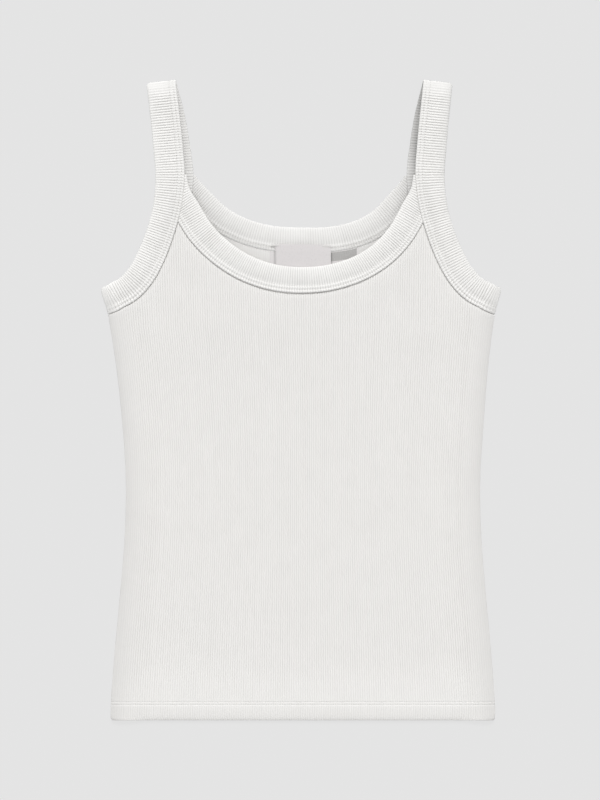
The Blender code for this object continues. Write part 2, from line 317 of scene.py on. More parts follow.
def panel_points(seams, columns, rows, profile, section, up, folds):
    """A panel's points, row by row up from its hem, and how much its ribs stand out at each, in depth and
    in painted groove shade.

    Each row goes over the outer face and back along the inner one. There the ribs lie behind the
    outer grooves. Up is 1 for an outer face that looks up and -1 for one that looks down.
    """
    shares = wrapped_shares(columns)
    inside = np.arange(len(shares)) > columns * BODY_RIBS
    ribs = (shares + 1) / 2 * BODY_RIBS
    row_count = len(rows) + len(TOP_ROWS["share"])
    stations = []
    for row in range(row_count):
        climbing = row >= len(rows)
        top = {name: column[row - len(rows)] if climbing else 0 for name, column in TOP_ROWS.items()}
        y = CHEST + (side["y"][-1] - CHEST) * top["share"] if climbing else rows[row]
        here = {name: np.interp(y, profile["y"], column) for name, column in profile.items()}
        face_x, face_z, out_x, out_z = across_panel(shares, y, section, here["face"], up)
        needles = sum(gaussian(y - needle, NEEDLE_SPREAD) for needle in HEM_NEEDLES)
        ribbing = here["relief"] * read_off(SIDE_RELIEF, 1 - abs(shares))
        ribbing = np.where(inside, here["inside"], ribbing)
        shown = RIB_DEPTH * ribbing * groove(ribs) + here["needle_depth"] * needles + top["dip"]
        hidden = here["wall"] - RIB_DEPTH * ribbing * groove(ribs + 0.5)
        depth = np.where(inside, hidden, shown)
        # Both faces part round the hem's fold and meet again at the upper edge
        opening = 1.0
        if row < len(HEM_FOLD_TURNS):
            opening = np.sin(HEM_FOLD_TURNS[row])
        if row == row_count - 1:
            opening = 0.0
        middle = here["wall"] / 2
        depth = middle + (depth - middle) * np.where(abs(shares) == 1, 0, opening)
        x = np.sign(shares) * (face_x - depth * out_x)
        row_y = np.full(len(shares), y)
        if climbing:
            climb = np.minimum(*(crossing_height(seam, abs(x)) for seam in seams)) - CHEST
            row_y = CHEST + climb * top["share"] - top["short"] * np.minimum(climb / FULL_CLIMB, 1)
        z = face_z - depth * out_z + soft_folds(x, row_y, folds)
        stations.append(np.column_stack((x, row_y, z, ribbing)))
    stations = np.array(stations)
    return stations[..., :3], stations[..., 3]


def rows_below_chest(hem_wall, above):
    """Heights of a panel's rows from the edge of its hem's fold, past its needle rows, to the chest."""
    fold = HEM + HEM_FOLD_DEPTH * hem_wall * (1 - np.cos(HEM_FOLD_TURNS))
    return np.concatenate((fold, TURN_UP_ROWS, SEWN_ROWS, above))


BACK_COLUMNS_A_RIB = 4
BACK_WALL = 0.0012
BACK_HEM_WALL = 0.0020
BACK_ROLL_RADIUS = 0.0040
SIDE_SEAM_HEIGHT = 0.0028

# A panel by its height: where its outer face lies, its wall, its ribs' depth outside and inside, and
# how deep its needle rows sink
BACK_PROFILE = table(
    "y face wall relief inside needle_depth",
    (-0.2910, 0.0, BACK_HEM_WALL, 0.7, 0.7, 0.0003),
    (-0.2700, 0.0, BACK_HEM_WALL, 0.9, 0.9, 0.0003),
    (-0.2520, 0.0, BACK_WALL, 1.0, 1.0, 0.0),
    (0.0660, 0.0, BACK_WALL, 1.0, 0.6, 0.0),
    (0.0720, 0.0, BACK_WALL, 1.0, 0.2, 0.0),
    (0.0780, 0.0, BACK_WALL, 1.0, 0.2, 0.0),
)
BACK_BODY_ROWS = np.arange(-0.2300, 0.0400, 0.0240)
BACK_ROWS = rows_below_chest(BACK_HEM_WALL, (-0.2680, -0.2520, *BACK_BODY_ROWS, 0.0560, CHEST))


def back_section(inset, face):
    """Height of the back panel's outer face: flat on the table, turned up at its side."""
    seam = SIDE_SEAM_HEIGHT - SEAM_GAP / 2
    return face + (seam - face) * (1 - turned_share(inset, BACK_ROLL_RADIUS))


# Soft unevenness of the layer underneath, all of it upwards because it rests on the table
BACK_FOLDS = table(
    "x y length width turn height",
    (-0.070, -0.090, 0.080, 0.018, 84, 0.00020),
    (0.060, -0.150, 0.070, 0.016, 97, 0.00018),
    (0.020, 0.030, 0.050, 0.020, 70, 0.00018),
)
back_seams = (
    beside(armhole, back_width + SEAM_GAP),
    beside(back_neck, back_neck["width"] + SEAM_GAP),
)
back_points, back_ribbing = panel_points(
    back_seams, BACK_COLUMNS_A_RIB, BACK_ROWS, BACK_PROFILE, back_section, -1, BACK_FOLDS
)


def hollow_shade(points, everywhere, deepest):
    """How dark the soft shade is that the front layer's free edges throw on what lies behind them.

    It fades in above the front neckline's lowest stretch, and is darkest behind the right strap.
    """
    sewn = beside(armhole, armhole["width"])
    strap = sewn[sewn[:, 1] > STRAP_START]
    edge = np.concatenate((beside(front_neck, 0), strap, strap * (-1, 1)))[::EDGE_STRIDE]
    parts = np.array_split(points[..., :2].reshape(-1, 2), HOLLOW_PARTS)
    nearest = [np.linalg.norm(part[:, None] - edge, axis=2).min(axis=1) for part in parts]
    nearest = np.concatenate(nearest).reshape(points.shape[:2])
    x, y = points[..., 0], points[..., 1]
    inside = np.clip((y - HOLLOW_BOTTOM) / HOLLOW_FADE, 0, 1)
    strap_share = np.clip((y - STRAP_SHADE_START) / STRAP_SHADE_FADE, 0, 1) * (x > 0)
    amount = deepest + STRAP_SHADE * strap_share
    return (everywhere + amount * np.exp(-nearest / HOLLOW_REACH)) * inside


# Distances are measured to every sixth point of the edges, for one part of the piece at a time
EDGE_STRIDE = 6
HOLLOW_PARTS = 60
HOLLOW_BOTTOM = 0.100
HOLLOW_FADE = 0.010
HOLLOW_REACH = 0.0085
STRAP_SHADE = 0.38
STRAP_SHADE_START = 0.180
STRAP_SHADE_FADE = 0.050
back_shade = hollow_shade(back_points, everywhere=0.06, deepest=0.12)
back_panel = knit_shell("back_panel_cloth", back_points, ribbing=back_ribbing, shade=back_shade)
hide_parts("back_panel")


class Shade:
    """A socket in a material's node tree. Arithmetic on it adds Math nodes."""

    def __init__(self, tree, socket=None):
        self.tree = tree
        self.socket = socket

    def node(self, kind, settings, inputs, output=0):
        """Adds a node of that kind, its settings first and then its sockets' values or links."""
        made = self.tree.nodes.new("ShaderNode" + kind)
        for name, value in settings.items():
            setattr(made, name, value)
        for key, value in inputs.items():
            if isinstance(value, Shade):
                self.tree.links.new(value.socket, made.inputs[key])
            else:
                made.inputs[key].default_value = value
        return Shade(self.tree, made.outputs[output])

    def math(self, operation, *values):
        return self.node("Math", {"operation": operation}, dict(enumerate(values)))

    def feed(self, shader, name):
        """Links this socket to an input of a shader node."""
        self.tree.links.new(self.socket, shader.inputs[name])

    def __add__(self, other):
        return self.math("ADD", self, other)

    def __sub__(self, other):
        return self.math("SUBTRACT", self, other)

    def __rsub__(self, other):
        return self.math("SUBTRACT", other, self)

    def __mul__(self, other):
        return self.math("MULTIPLY", self, other)

    def __pow__(self, other):
        return self.math("POWER", self, other)

    def __abs__(self):
        return self.math("ABSOLUTE", self)

    __radd__ = __add__
    __rmul__ = __mul__


def cloth_material(name, roughness, sheen):
    """A matt cloth's material and its surface, the Principled node."""
    material = bpy.data.materials.new(name)
    material.use_nodes = True
    surface = material.node_tree.nodes["Principled BSDF"]
    surface.inputs["Roughness"].default_value = roughness
    surface.inputs["Sheen Weight"].default_value = sheen
    surface.inputs["Sheen Roughness"].default_value = 0.5
    surface.inputs["Specular IOR Level"].default_value = 0.25
    return material, surface


def mixed(root, share, colour, other):
    """A colour that goes over into another one by a share."""
    settings = {"data_type": "RGBA", "clamp_factor": True}
    return root.node("Mix", settings, {0: share, 6: colour, 7: other}, output=2)


def shaded(root, colour):
    """A colour darkened by the painted shade that the mesh carries."""
    shade = root.node("Attribute", {"attribute_name": "shade"}, {}, "Fac")
    return mixed(root, shade, colour, BLACK)


def rib_material(name, ribs_by_u, crest, groove_shade_colour):
    """White cotton rib: loops of yarn in courses up each rib, with painted shade in the grooves between the
    ribs.
    """
    material, surface = cloth_material(name, roughness=0.88, sheen=0.12)
    root = Shade(material.node_tree)
    coordinates = root.node("TexCoord", {}, {}, "UV")
    rib = root.node("SeparateXYZ", {}, {0: coordinates}, "X") * ribs_by_u
    course = root.node("Attribute", {"attribute_name": "rib_length"}, {}, "Fac") * (1 / COURSE)
    off_crest = abs(root.math("FRACT", rib) - 0.5) * 2
    rib_number = root.math("FLOOR", rib + 0.5)
    each = root.node("TexWhiteNoise", {"noise_dimensions": "1D"}, {"W": rib_number}, "Value")
    loops = root.math("SINE", (course + off_crest * LOOP_SLANT) * (2 * np.pi))
    here = root.node("TexCoord", {}, {}, "Object")
    mottle = root.node("TexNoise", {}, {"Vector": here, "Scale": 55.0, "Detail": 3.0})
    fibre = root.node("TexNoise", {}, {"Vector": here, "Scale": 2600.0, "Detail": 2.0})
    ribbing = root.node("Attribute", {"attribute_name": "ribbing"}, {}, "Fac")
    uneven = each * UNEVENNESS + (1 - UNEVENNESS / 2)
    # Painted shade in the grooves between the ribs, a little uneven from rib to rib, and the yarn's own
    # mottled tone
    dip = off_crest**GROOVE_SHADE_SHARPNESS * ribbing * uneven
    dip = dip + (mottle - 0.5) * MOTTLE + (fibre - 0.5) * FIBRE
    shaded(root, mixed(root, dip, crest, groove_shade_colour)).feed(surface, "Base Color")
    relief = loops * LOOP_RELIEF * (1 - off_crest) + fibre * FIBRE_RELIEF
    bump = root.node("Bump", {}, {"Strength": 0.5, "Distance": 0.0002, "Height": relief})
    bump.feed(surface, "Normal")
    return material


BLACK = (0.0, 0.0, 0.0, 1.0)
COURSE = 0.0010
LOOP_SLANT = 0.45
LOOP_RELIEF = 0.4
FIBRE_RELIEF = 0.25
GROOVE_SHADE_SHARPNESS = 3
UNEVENNESS = 0.25
MOTTLE = 0.30
FIBRE = 0.15
# The valley colour is painted shade in the grooves between the ribs
BODY_CREST = (0.840, 0.829, 0.812, 1.0)
BODY_GROOVE_SHADE = (0.69, 0.68, 0.66, 1.0)
body_rib = rib_material("white_body_rib", 2 * BODY_RIBS, BODY_CREST, BODY_GROOVE_SHADE)
back_panel.data.materials.append(body_rib)

# ---- Front panel ----
# The upper body cut, from the same rib cloth, right side up over the back one. Its sides swell
# softly before they turn down to the side seams, and it climbs a little over the doubled hem and
# the bindings' seams.

FRONT_COLUMNS_A_RIB = 6
FRONT_WALL = 0.0014
FRONT_HEM_WALL = 0.0021
FRONT_ROLL_RADIUS = 0.0085
FRONT_ROLL_TOP = 0.0053
FRONT_ROLL_WIDTH = 0.0340
FRONT_PROFILE = table(
    "y face wall relief inside needle_depth",
    (-0.2910, 0.0033, 0.0012, 0.7, 0.7, 0.0),
    (-0.2885, 0.0040, 0.0019, 0.7, 0.7, 0.0),
    (-0.2850, 0.0043, FRONT_HEM_WALL, 0.7, 0.7, 0.0),
    (-0.2790, 0.0045, FRONT_HEM_WALL, 0.7, 0.7, 0.0004),
    (-0.2780, 0.0045, FRONT_HEM_WALL, 0.3, 0.7, 0.0004),
    (-0.2734, 0.0046, FRONT_HEM_WALL, 0.3, 0.8, 0.0004),
    (-0.2725, 0.0046, FRONT_HEM_WALL, 0.8, 0.8, 0.0004),
    (-0.2640, 0.0043, 0.0018, 0.9, 0.9, 0.0),
    (-0.2520, 0.0034, FRONT_WALL, 1.0, 1.0, 0.0),
    (-0.2400, 0.0029, FRONT_WALL, 1.0, 1.0, 0.0),
    (0.0050, 0.0029, FRONT_WALL, 1.0, 1.0, 0.0),
    (0.0300, 0.0032, FRONT_WALL, 1.0, 1.0, 0.0),
    (0.0660, 0.0042, FRONT_WALL, 1.0, 1.0, 0.0),
    (0.0780, 0.0043, FRONT_WALL, 1.0, 1.0, 0.0),
)
LOWER_ROWS = np.arange(-0.2100, 0.0, 0.0250)
UPPER_ROWS = np.arange(0.0100, 0.0600, 0.0160)
FRONT_ABOVE_HEM = (-0.2700, -0.2630, -0.2520, -0.2400, -0.2270, *LOWER_ROWS, *UPPER_ROWS, CHEST)
FRONT_ROWS = rows_below_chest(FRONT_HEM_WALL, FRONT_ABOVE_HEM)

# How dark the sides are, by the share of the half-width in from the side seam
SIDE_SHADE = table(
    "from_side shade",
    (0.000, 0.090),
    (0.010, 0.100),
    (0.018, 0.125),
    (0.053, 0.090),
    (0.080, 0.055),
    (0.120, 0.018),
    (0.200, 0.000),
)


def front_section(inset, face):
    """Height of the front panel's face: up from the side seam over a soft swell, then flat."""
    flat_share = np.clip((inset - FRONT_ROLL_RADIUS) / (FRONT_ROLL_WIDTH - FRONT_ROLL_RADIUS), 0, 1)
    swell = FRONT_ROLL_TOP + (face - FRONT_ROLL_TOP) * flat_share**2 * (3 - 2 * flat_share)
    seam = SIDE_SEAM_HEIGHT + SEAM_GAP / 2
    return seam + (swell - seam) * turned_share(inset, FRONT_ROLL_RADIUS)


# The front's own unevenness: shallow ridges and troughs that a pressed, laid-down top keeps
FRONT_FOLDS = table(
    "x y length width turn height",
    (-0.125, -0.010, 0.085, 0.016, 86, 0.00030),
    (-0.098, 0.010, 0.070, 0.013, 92, -0.00025),
    (0.118, -0.060, 0.060, 0.016, 118, -0.00035),
    (0.136, -0.045, 0.045, 0.012, 112, 0.00030),
    (0.072, -0.020, 0.080, 0.015, 84, 0.00022),
    (-0.030, -0.060, 0.060, 0.016, 75, 0.00022),
    (-0.060, -0.130, 0.075, 0.018, 95, -0.00025),
    (0.020, -0.170, 0.070, 0.020, 88, 0.00022),
    (-0.110, -0.200, 0.055, 0.016, 108, -0.00028),
    (0.105, -0.190, 0.060, 0.018, 80, 0.00025),
    (0.010, 0.060, 0.055, 0.014, 12, -0.00022),
    (-0.080, 0.070, 0.045, 0.014, 40, 0.00022),
)
front_seams = (
    beside(armhole, armhole["width"] + SEAM_GAP),
    beside(front_neck, front_neck["width"] + SEAM_GAP),
)
front_points, front_ribbing = panel_points(
    front_seams, FRONT_COLUMNS_A_RIB, FRONT_ROWS, FRONT_PROFILE, front_section, 1, FRONT_FOLDS
)
side_shade = read_off(SIDE_SHADE, 1 - abs(wrapped_shares(FRONT_COLUMNS_A_RIB)))
seam_shade = np.concatenate((0 * FRONT_ROWS, TOP_ROWS["shade"]))
front_shade = side_shade + seam_shade[:, None]
front_panel = knit_shell("front_panel_cloth", front_points, ribbing=front_ribbing, shade=front_shade)
front_panel.data.materials.append(body_rib)
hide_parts("front_panel")

# ---- Neck bindings ----
# Strips of the same rib cut across, folded double over the raw neckline and coverstitched down
# with two rows of needle thread. The back one shows its inside. At both ends they run out against
# the armhole bindings.

# Across a binding's face, from its sewn edge to its free fold: distance in, height, how deep a
# needle row sinks, the ribs' share of depth and of painted shade in their grooves, how far the
# stitching drags them along, and how much painted shade it has there
BAND_FACE = table(
    "inset lift trough relief tone drag shade",
    (0.0000, 0.0011, 0.0000, 0.0, 0.4, 0.0, 0.05),
    (0.0002, 0.0018, 0.0000, 0.2, 0.5, 0.0, 0.03),
    (0.0007, 0.0024, 0.0000, 0.4, 0.7, 0.0, 0.02),
    (0.0016, 0.0026, 0.0000, 0.5, 0.8, -0.00008, 0.03),
    (0.0024, 0.0024, 0.0002, 0.6, 0.9, 0.00006, 0.04),
    (0.0031, 0.0022, 0.0005, 0.9, 1.1, 0.00025, 0.07),
    (0.0039, 0.0023, 0.0002, 0.6, 0.9, 0.00010, 0.05),
    (0.0048, 0.0024, 0.0000, 0.5, 0.8, -0.00015, 0.04),
    (0.0059, 0.0022, 0.0002, 0.6, 0.9, 0.00010, 0.05),
    (0.0067, 0.0019, 0.0005, 0.9, 1.1, 0.00028, 0.07),
    (0.0076, 0.0018, 0.0003, 0.9, 1.0, 0.00012, 0.06),
    (0.0098, 0.0020, 0.0000, 1.0, 1.0, 0.0, 0.04),
    (0.0130, 0.0026, 0.0000, 1.0, 1.0, 0.0, 0.01),
    (0.0170, 0.0029, 0.0000, 1.0, 1.0, 0.0, 0.0),
    (0.0205, 0.0030, 0.0000, 0.9, 1.0, 0.0, 0.0),
    (0.0228, 0.0028, 0.0000, 0.6, 0.9, 0.0, 0.0),
    (0.0241, 0.0025, 0.0000, 0.3, 0.7, 0.0, 0.0),
    (0.0248, 0.0019, 0.0000, 0.1, 0.5, 0.0, 0.0),
    (0.0250, 0.0013, 0.0000, 0.0, 0.3, 0.0, 0.0),
)

# The same for its back, from under the free fold to the sewn edge again. There the ribs stand out
# downwards.
BAND_BACK = table(
    "inset lift trough relief tone drag shade",
    (0.0248, 0.0008, 0.0, 0.0, 0.3, 0.0, 0.0),
    (0.0241, 0.0003, 0.0, -0.2, 0.6, 0.0, 0.0),
    (0.0225, 0.0000, 0.0, -0.6, 0.9, 0.0, 0.0),
    (0.0165, 0.0000, 0.0, -0.9, 0.9, 0.0, 0.0),
    (0.0067, 0.0003, 0.0, -0.6, 0.9, 0.0, 0.0),
    (0.0030, 0.0003, 0.0, -0.6, 0.8, 0.0, 0.0),
    (0.0002, 0.0002, 0.0, -0.3, 0.6, 0.0, 0.0),
    (0.0000, 0.0011, 0.0, 0.0, 0.4, 0.0, 0.05),
)
BAND_COLUMNS_A_RIB = 6
BAND_RIB_DEPTH = 0.00055
BAND_WIDTH = 0.0250
SEWN_ZONE = 0.0092
DRAG_CHANGE = 0.6
DRAG_WAVES = (0.37, 0.11)

# Which lines of its points carry thread: the needle rows on its face and underneath, and its middle
NEEDLE_LINES = (5, 9)
UNDERSIDE_NEEDLE_LINES = (23, 24)


def even_stations(edges, ribs, trim=0.0):
    """A binding's two edges, its stations even along the line midway between them."""
    distance = walked((edges[0] + edges[1]) / 2)
    where = np.linspace(trim, distance[-1] - trim, BAND_COLUMNS_A_RIB * ribs + 1)
    stations = [[np.interp(where, distance, column) for column in edge.T] for edge in edges]
    return np.array(stations).transpose(0, 2, 1)


def distance_to(line, start, direction):
    """How far a ray from start runs before it crosses a line, or infinity."""
    leg = np.diff(line, axis=0)
    to_leg = line[:-1] - start
    across = direction[0] * leg[:, 1] - direction[1] * leg[:, 0]
    across[across == 0] = np.inf
    ray = (to_leg[:, 0] * leg[:, 1] - to_leg[:, 1] * leg[:, 0]) / across
    share = (to_leg[:, 0] * direction[1] - to_leg[:, 1] * direction[0]) / across
    hits = ray[(ray > 0) & (share >= 0) & (share <= 1)]
    return hits.min() if len(hits) else np.inf


def band_points(
    edges, whole_width, ribs, rise, relief, sewing, tone=1.0, full=1.0, middle=0.0, turn=0.0, outward=(0, 0)
):
    """A binding's points, rib groove shade and painted shade: over its face, round its free fold and back
    underneath.

    At each station whole_width is its width before it is cut off, relief the ribs' share of depth,
    sewing the needle rows' share, tone the ribs' share of painted groove shade for that depth and full
    the share of thickness. Turn is its turn about its length at the height called middle, from 0 face
    up to pi face down, and outward the way that it bulges there.
    """
    free, sewn = edges
    width = np.linalg.norm(sewn - free, axis=1)[:, None]
    whole = np.broadcast_to(whole_width, len(free))[:, None]
    stretch = (whole - SEWN_ZONE) / (BAND_WIDTH - SEWN_ZONE)
    bend = np.abs(np.sin(turn)) * np.ones((len(free), 1))
    rounded = FOLD_CORNER * bend**2
    parts = []
    for profile in (BAND_FACE, BAND_BACK):
        past_sewn_zone = np.maximum(profile["inset"] - SEWN_ZONE, 0)
        reach = whole - (np.minimum(profile["inset"], SEWN_ZONE) + past_sewn_zone * stretch)
        lift = profile["lift"] * full - profile["trough"] * sewing + 0 * reach
        if profile is BAND_FACE:
            cut_off = np.clip((reach - width) / np.maximum(whole - width, MICRON), 0, 1)
            reach = np.minimum(reach, width)
            lift = lift * (1 - cut_off) + BAND_BACK["lift"][-1] * cut_off
        else:
            reach = reach * width / whole
        lift = lift - BAND_RIB_DEPTH * profile["relief"] * relief * groove(ribs)[:, None]
        reach = rounded + reach * (1 - rounded / width)
        ribbing = profile["tone"] * relief * tone + 0 * reach
        parts.append((reach, lift, profile["drag"] + 0 * reach, ribbing, profile["shade"] + 0 * reach))
    reach, lift, drag, ribbing, shade = (np.concatenate(columns, axis=1) for columns in zip(*parts))
    line = unit(sewn - free)
    along = unit(np.gradient((free + sewn) / 2, axis=0) + np.array((0, MICRON)))
    change = DRAG_CHANGE * np.sin(ribs * DRAG_WAVES[0]) * np.sin(ribs * DRAG_WAVES[1] + 1)
    swing = drag * (1 + change)[:, None] * (1 - bend)
    height = rise - middle + lift
    place = free[:, None] + line[:, None] * reach[..., None] + along[:, None] * swing[..., None]
    bulge = bend * np.minimum(height, rise - middle + FOLD_LIFT)
    place = place + np.reshape(outward, (-1, 1, 2)) * bulge[..., None]
    z = middle + np.cos(turn) * height
    return np.dstack((place, z)), ribbing, shade


FOLD_CORNER = 0.0030
FOLD_LIFT = 0.0021


def neck_band(curve, armhole_seam, rise, pitch, relief, sewing, full):
    """A neck binding's points, rib groove shade, painted shade and rib count, cut off along the armhole
    bindings.

    Relief is a pair here: the ribs' share of depth at its middle and towards its ends.
    """
    edges = [beside(curve, 0), beside(curve, curve["width"])]
    for k, (start, end) in enumerate(zip(*edges)):
        direction = unit(end - start)
        stops = [distance_to(line, start, direction) for line in (armhole_seam, armhole_seam * (-1, 1))]
        edges[1][k] = start + direction * min(curve["width"][k], *stops)
    ribs = round(walked((edges[0] + edges[1]) / 2)[-1] / pitch)
    stations = even_stations(edges, ribs)
    count = np.linspace(0, ribs, BAND_COLUMNS_A_RIB * ribs + 1)
    from_middle = abs(stations[0][:, :1])
    whole = np.interp(from_middle[:, 0], curve["x"][::-1], curve["width"][::-1])
    width = np.linalg.norm(stations[1] - stations[0], axis=1)[:, None]
    tone = np.interp(width, (0, TIP_WIDTH), (TIP_GROOVE_SHADE, 1.0))
    relief = np.interp(from_middle, DEEPENING, relief)
    return *band_points(stations, whole, count, rise, relief, sewing, tone, full), ribs


FRONT_RISE = 0.0029
# The bindings' crest is their white cotton painted brighter than the body's, as a painted highlight; their
# grooves get darker painted shade
BINDING_WHITE_AND_HIGHLIGHT = (0.932, 0.924, 0.907, 1.0)
BINDING_GROOVE_SHADE = (0.53, 0.52, 0.50, 1.0)

# Its ribs deepen between these distances from the middle, and the painted shade in their grooves is
# stronger where it narrows to a tip. The front one has a little painted shade about its middle.
DEEPENING = (0.020, 0.075)
TIP_WIDTH = 0.0080
TIP_GROOVE_SHADE = 1.4
MIDDLE_SHADE = 0.02
MIDDLE_REACH = 0.050
NECK_BINDINGS = {
    "neck_binding_back": {
        "curve": back_neck,
        "armhole_seam": beside(armhole, back_width),
        "rise": 0.0,
        "pitch": 0.0023,
        "relief": (0.4, 0.7),
        "sewing": 0.45,
        "full": 0.8,
    },
    "neck_binding_front": {
        "curve": front_neck,
        "armhole_seam": beside(armhole, armhole["width"]),
        "rise": FRONT_RISE,
        "pitch": 0.0022,
        "relief": (0.6, 0.9),
        "sewing": 0.8,
        "full": 1.0,
    },
}
neck_bands = {}
for name, build in NECK_BINDINGS.items():
    points, ribbing, shade, ribs = neck_band(**build)
    if name == "neck_binding_back":
        shade = shade + hollow_shade(points, everywhere=0.06, deepest=0.19)
    else:
        shade = shade + MIDDLE_SHADE * gaussian(points[..., 0], MIDDLE_REACH)
    binding = knit_shell(name + "_cloth", points.transpose(1, 0, 2), ribbing=ribbing.T, shade=shade.T)
    binding.data.materials.append(rib_material(name + "_rib", ribs, BINDING_WHITE_AND_HIGHLIGHT, BINDING_GROOVE_SHADE))
    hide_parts(name)
    neck_bands[name] = points

# ---- Armhole bindings ----
# One closed band each, folded and coverstitched like the neck ones. It goes up the front edge,
# runs on alone as the shoulder strap, folds over at the top, comes down the back and folds again
# under the arm.

BAND_WALL = 0.0029
ARM_RIB_PITCH = 0.0024
FOLD_MIDDLE = (FRONT_RISE + BAND_WALL) / 2
FOLD_RADIUS = FRONT_RISE - FOLD_MIDDLE + BAND_WALL / 2
FOLD_RIBS = 3

# By the height up the band: how deep its ribs are, how deep its needle rows sink and how dark its
# sewn edge is
RELIEF_UP_BAND = table("y share", (0.115, 0.9), (0.160, 1.0))
SEWING_UP_BAND = table("y share", (0.195, 1.0), (0.225, 0.35))
SHADE_UP_BAND = table("y share", (0.185, 1.0), (0.215, 0.3))

# By the number of ribs from the nearer fold: how deep the needle rows sink, how deep the ribs are,
# how dark the band is and how much of its height is left where it is pressed flat
SEWING_FROM_FOLD = table("ribs share", (1.5, 0.2), (4.0, 1.0))
RELIEF_FROM_FOLD = table("ribs share", (0.0, 0.08), (1.5, 0.15), (3.0, 0.5), (5.0, 1.0))
SHADE_FROM_FOLD = table("ribs share", (0.0, 0.3), (1.5, 1.0), (5.0, 0.0))
PRESSED_FROM_FOLD = table(
    "ribs share",
    (0.0, 0.55),
    (1.5, 0.62),
    (2.2, 0.78),
    (3.0, 0.90),
    (4.0, 0.97),
    (5.0, 1.00),
)
STRAP_FOLD_SPREAD = 0.70
FOLD_SHADE = 0.07

# How much darker it is under the arm, by the distance in from its sewn edge
UNDERARM_SHADE = table("inset shade", (0.004, 0.14), (0.012, 0.08), (0.024, 0.02))

# How dark the right band's free edge is, how far that reaches in, and how much more it is up the
# strap
RIGHT_EDGE_SHADE = 0.10
RIGHT_EDGE_REACH = 0.0030
RIGHT_STRAP_MORE = 0.6


def armhole_stations():
    """The right band's edges all round, its turns about its length and which way it bulges there.

    It goes up the front run, over the shoulder, down the back run and round under the arm. The
    last value is how many ribs one run holds.
    """
    front = [beside(armhole, 0), beside(armhole, armhole["width"])]
    back = [beside(armhole, armhole["back_inset"]), beside(armhole, back_width)]
    run = round((walked((front[0] + front[1]) / 2)[-1] - 2 * FOLD_RADIUS) / ARM_RIB_PITCH)
    up = even_stations(front, run, FOLD_RADIUS)
    down = even_stations(back, run, FOLD_RADIUS)[:, ::-1]
    steps = np.arange(1, BAND_COLUMNS_A_RIB * FOLD_RIBS) / (BAND_COLUMNS_A_RIB * FOLD_RIBS)
    edges, turns, bulges = [], [], []
    for first, second, start, way in ((up, down, 0, 1), (down, up, np.pi, -1)):
        before, after = first[:, -1], second[:, 0]
        line = unit(before[1] - before[0])
        bulge = way * np.array((line[1], -line[0]))
        edges += [first, before[:, None] + (after - before)[:, None] * steps[:, None]]
        turns += [np.full(first.shape[1], start), start + np.pi * steps]
        bulges += [np.tile(bulge, (first.shape[1] + len(steps), 1))]
    edges.append(up[:, :1])
    turns.append((2 * np.pi,))
    bulges.append(bulges[-1][:1])
    return np.concatenate(edges, axis=1), np.concatenate(turns)[:, None], np.concatenate(bulges), run


def armhole_band():
    """The right band's points, rib groove shade and painted shade, which stations lie behind, and its rib
    count.
    """
    edges, turn, outward, run = armhole_stations()
    width = np.linalg.norm(edges[1] - edges[0], axis=1)
    y = edges[0][:, 1:]
    on_strap = y > STRAP_START
    count = np.arange(len(turn)) / BAND_COLUMNS_A_RIB
    half_way = run + FOLD_RIBS
    from_fold = (count + FOLD_RIBS / 2) % half_way
    from_fold = np.minimum(from_fold, half_way - from_fold)[:, None]
    sewing = read_off(SEWING_UP_BAND, y) * read_off(SEWING_FROM_FOLD, from_fold)
    relief = read_off(RELIEF_FROM_FOLD, np.where(on_strap, STRAP_FOLD_SPREAD, 1.0) * from_fold)
    relief = relief * read_off(RELIEF_UP_BAND, y)
    points, ribbing, shade = band_points(
        edges, width, count, FRONT_RISE, relief, sewing, middle=FOLD_MIDDLE, turn=turn, outward=outward
    )
    pressed = read_off(PRESSED_FROM_FOLD, from_fold)
    points[..., 2] = FOLD_MIDDLE + (points[..., 2] - FOLD_MIDDLE) * pressed
    points[-1] = points[0]
    under_arm = np.concatenate((read_off(UNDERARM_SHADE, BAND_FACE["inset"]), 0 * BAND_BACK["inset"]))
    fold_shade = np.where(on_strap, FOLD_SHADE, FOLD_SHADE + under_arm)
    shade = shade * read_off(SHADE_UP_BAND, y) + fold_shade * read_off(SHADE_FROM_FOLD, from_fold)
    behind = np.cos(turn) < 0
    return points, ribbing, np.where(behind, 0, shade), behind, 2 * half_way


def right_edge_shade(points, behind):
    """How dark the right band is along its free edge, which turns away from the light."""
    from_free = BAND_FACE["inset"][-1] - BAND_FACE["inset"]
    face = RIGHT_EDGE_SHADE * np.exp(-from_free / RIGHT_EDGE_REACH)
    across = np.concatenate((face, 0 * BAND_BACK["inset"]))
    on_strap = points[:, :1, 1] > STRAP_START
    return across * (1 + RIGHT_STRAP_MORE * on_strap) * (1 - behind)


arm_points, arm_ribbing, arm_shade, arm_behind, arm_ribs = armhole_band()
arm_rib = rib_material("armhole_binding_rib", arm_ribs, BINDING_WHITE_AND_HIGHLIGHT, BINDING_GROOVE_SHADE)
arm_bands = {}
for name, way in (("armhole_binding_left", -1), ("armhole_binding_right", 1)):
    points = arm_points * (way, 1, 1)
    shade = arm_shade + hollow_shade(points, everywhere=0.0, deepest=0.28) * arm_behind
    if way == 1:
        shade = shade + right_edge_shade(points, arm_behind)
    binding = knit_shell(name + "_cloth", points.transpose(1, 0, 2), ribbing=arm_ribbing.T, shade=shade.T)
    binding.data.materials.append(arm_rib)
    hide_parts(name)
    arm_bands[name] = points

# ---- Stitching ----
# Two rows of white needle thread along each binding's sewn edge and round the hem, one stitch to a
# rib, and the zigzag of looper thread that covers the seam inside the back neckline.

THREAD_RADIUS = 0.00022
THREAD_WHITE = (0.80, 0.792, 0.775, 1.0)
STITCH_SHARE = 0.80
STITCH_LIFT = 0.00005
STITCHES_AT_ONCE = 40
thread_white, surface = cloth_material("white_sewing_thread", roughness=0.6, sheen=0.1)
surface.inputs["Base Color"].default_value = THREAD_WHITE


